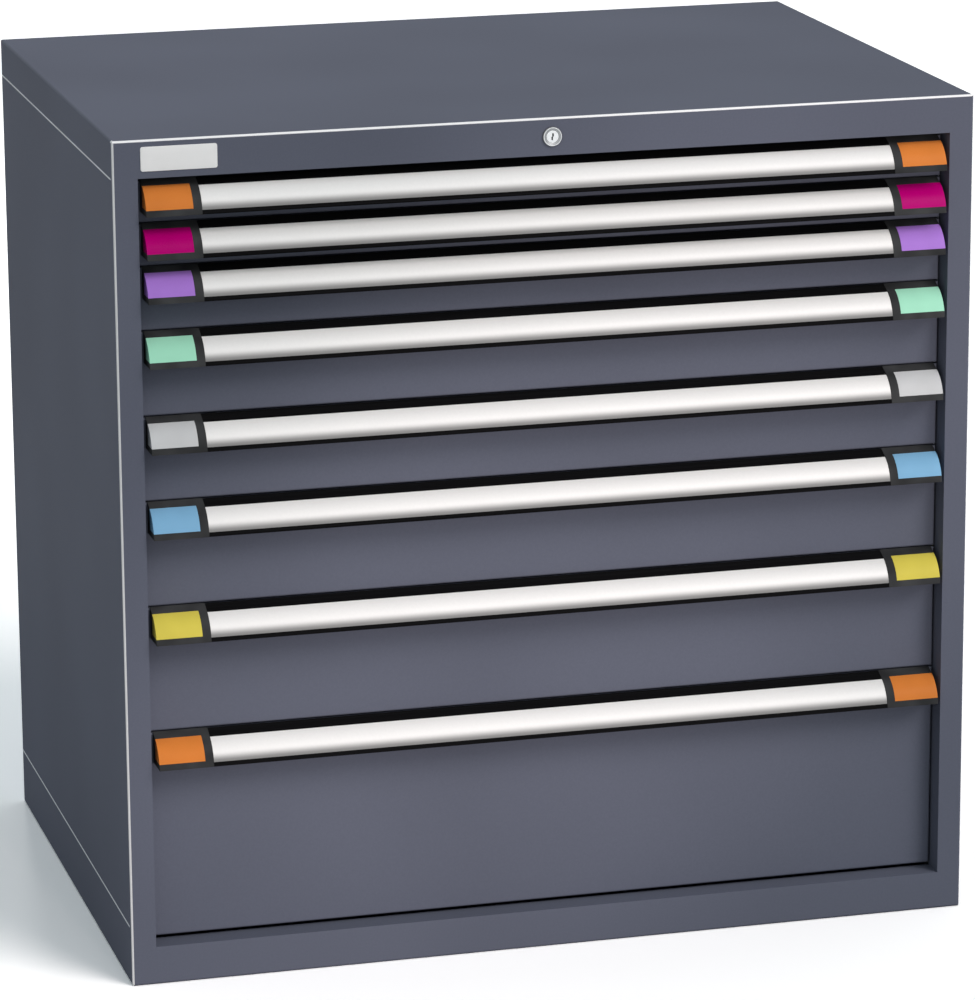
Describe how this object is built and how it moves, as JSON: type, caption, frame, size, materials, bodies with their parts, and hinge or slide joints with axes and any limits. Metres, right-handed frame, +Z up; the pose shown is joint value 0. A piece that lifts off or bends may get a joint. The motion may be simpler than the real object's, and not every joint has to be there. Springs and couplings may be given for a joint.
{
  "type": "drawer cabinet",
  "caption": "Free-standing steel drawer cabinet with full-extension drawers, full-width label handles with coloured end tabs, and a central lock.",
  "frame": {"origin": "middle of the housing's underside, on the floor", "axes": "+Z up, -Y out of the drawer fronts, +X to the right of someone facing the fronts"},
  "size_m": [1.023, 0.7369, 1],
  "materials": {
    "slate_powder_coat": "fine-textured powder coat, satin",
    "black_profile": "black anodised",
    "white_label": "white label strip",
    "black_plastic": "moulded satin",
    "zinc_steel": "zinc plated",
    "lock_chrome": "bright chrome",
    "tab_orange": "moulded gloss",
    "tab_magenta": "moulded gloss",
    "tab_lilac": "moulded gloss",
    "tab_mint": "moulded gloss",
    "tab_silver": "moulded gloss",
    "tab_blue": "moulded gloss",
    "tab_yellow": "moulded gloss"
  },
  "bodies": {
    "housing": {"front_frame": "slate_powder_coat", "left_side_panel": "slate_powder_coat", "right_side_panel": "slate_powder_coat", "rear_panel": "slate_powder_coat", "top_cover": "slate_powder_coat", "base_tray": "slate_powder_coat", "slotted_uprights": "zinc_steel", "cabinet_runners": "zinc_steel", "lock_barrel": "lock_chrome"},
    "lock": {"lock_plug": "lock_chrome", "lock_cam": "zinc_steel"},
    "locking_frame": {"locking_frame": "zinc_steel"},
    "drawer_1": {"drawer_1_tray": "slate_powder_coat", "drawer_1_handle": "black_profile", "drawer_1_label": "white_label", "drawer_1_end_caps": "black_plastic", "drawer_1_colour_tabs": "tab_orange"},
    "carriages_1": {"drawer_1_carriages": "zinc_steel"},
    "drawer_2": {"drawer_2_tray": "slate_powder_coat", "drawer_2_handle": "black_profile", "drawer_2_label": "white_label", "drawer_2_end_caps": "black_plastic", "drawer_2_colour_tabs": "tab_magenta"},
    "carriages_2": {"drawer_2_carriages": "zinc_steel"},
    "drawer_3": {"drawer_3_tray": "slate_powder_coat", "drawer_3_handle": "black_profile", "drawer_3_label": "white_label", "drawer_3_end_caps": "black_plastic", "drawer_3_colour_tabs": "tab_lilac"},
    "carriages_3": {"drawer_3_carriages": "zinc_steel"},
    "drawer_4": {"drawer_4_tray": "slate_powder_coat", "drawer_4_handle": "black_profile", "drawer_4_label": "white_label", "drawer_4_end_caps": "black_plastic", "drawer_4_colour_tabs": "tab_mint"},
    "carriages_4": {"drawer_4_carriages": "zinc_steel"},
    "drawer_5": {"drawer_5_tray": "slate_powder_coat", "drawer_5_handle": "black_profile", "drawer_5_label": "white_label", "drawer_5_end_caps": "black_plastic", "drawer_5_colour_tabs": "tab_silver"},
    "carriages_5": {"drawer_5_carriages": "zinc_steel"},
    "drawer_6": {"drawer_6_tray": "slate_powder_coat", "drawer_6_handle": "black_profile", "drawer_6_label": "white_label", "drawer_6_end_caps": "black_plastic", "drawer_6_colour_tabs": "tab_blue"},
    "carriages_6": {"drawer_6_carriages": "zinc_steel"},
    "drawer_7": {"drawer_7_tray": "slate_powder_coat", "drawer_7_handle": "black_profile", "drawer_7_label": "white_label", "drawer_7_end_caps": "black_plastic", "drawer_7_colour_tabs": "tab_yellow"},
    "carriages_7": {"drawer_7_carriages": "zinc_steel"},
    "drawer_8": {"drawer_8_tray": "slate_powder_coat", "drawer_8_handle": "black_profile", "drawer_8_label": "white_label", "drawer_8_end_caps": "black_plastic", "drawer_8_colour_tabs": "tab_orange"},
    "carriages_8": {"drawer_8_carriages": "zinc_steel"}
  },
  "joints": [
    {"name": "lock_turn", "type": "hinge", "parent": "housing", "child": "lock", "pos_m": [0, -0.3625, 0.978], "axis": [0, 1, 0], "range_deg": [0, 90]},
    {"name": "locking_frame_lift", "type": "slide", "parent": "housing", "child": "locking_frame", "axis": [0, 0, 1], "range_m": [0, 0.006]},
    {"name": "drawer_1_slide", "type": "slide", "parent": "housing", "child": "drawer_1", "axis": [0, -1, 0], "range_m": [0, 0.612]},
    {"name": "carriages_1_slide", "type": "slide", "parent": "housing", "child": "carriages_1", "axis": [0, -1, 0], "range_m": [0, 0.306]},
    {"name": "drawer_2_slide", "type": "slide", "parent": "housing", "child": "drawer_2", "axis": [0, -1, 0], "range_m": [0, 0.612]},
    {"name": "carriages_2_slide", "type": "slide", "parent": "housing", "child": "carriages_2", "axis": [0, -1, 0], "range_m": [0, 0.306]},
    {"name": "drawer_3_slide", "type": "slide", "parent": "housing", "child": "drawer_3", "axis": [0, -1, 0], "range_m": [0, 0.612]},
    {"name": "carriages_3_slide", "type": "slide", "parent": "housing", "child": "carriages_3", "axis": [0, -1, 0], "range_m": [0, 0.306]},
    {"name": "drawer_4_slide", "type": "slide", "parent": "housing", "child": "drawer_4", "axis": [0, -1, 0], "range_m": [0, 0.612]},
    {"name": "carriages_4_slide", "type": "slide", "parent": "housing", "child": "carriages_4", "axis": [0, -1, 0], "range_m": [0, 0.306]},
    {"name": "drawer_5_slide", "type": "slide", "parent": "housing", "child": "drawer_5", "axis": [0, -1, 0], "range_m": [0, 0.612]},
    {"name": "carriages_5_slide", "type": "slide", "parent": "housing", "child": "carriages_5", "axis": [0, -1, 0], "range_m": [0, 0.306]},
    {"name": "drawer_6_slide", "type": "slide", "parent": "housing", "child": "drawer_6", "axis": [0, -1, 0], "range_m": [0, 0.612]},
    {"name": "carriages_6_slide", "type": "slide", "parent": "housing", "child": "carriages_6", "axis": [0, -1, 0], "range_m": [0, 0.306]},
    {"name": "drawer_7_slide", "type": "slide", "parent": "housing", "child": "drawer_7", "axis": [0, -1, 0], "range_m": [0, 0.612]},
    {"name": "carriages_7_slide", "type": "slide", "parent": "housing", "child": "carriages_7", "axis": [0, -1, 0], "range_m": [0, 0.306]},
    {"name": "drawer_8_slide", "type": "slide", "parent": "housing", "child": "drawer_8", "axis": [0, -1, 0], "range_m": [0, 0.612]},
    {"name": "carriages_8_slide", "type": "slide", "parent": "housing", "child": "carriages_8", "axis": [0, -1, 0], "range_m": [0, 0.306]}
  ],
  "couplings": [
    {"joint": "lock_turn", "follows": "locking_frame_lift", "rad_per_m": 261.8},
    {"joint": "carriages_1_slide", "follows": "drawer_1_slide", "ratio": 0.5},
    {"joint": "carriages_2_slide", "follows": "drawer_2_slide", "ratio": 0.5},
    {"joint": "carriages_3_slide", "follows": "drawer_3_slide", "ratio": 0.5},
    {"joint": "carriages_4_slide", "follows": "drawer_4_slide", "ratio": 0.5},
    {"joint": "carriages_5_slide", "follows": "drawer_5_slide", "ratio": 0.5},
    {"joint": "carriages_6_slide", "follows": "drawer_6_slide", "ratio": 0.5},
    {"joint": "carriages_7_slide", "follows": "drawer_7_slide", "ratio": 0.5},
    {"joint": "carriages_8_slide", "follows": "drawer_8_slide", "ratio": 0.5}
  ]
}
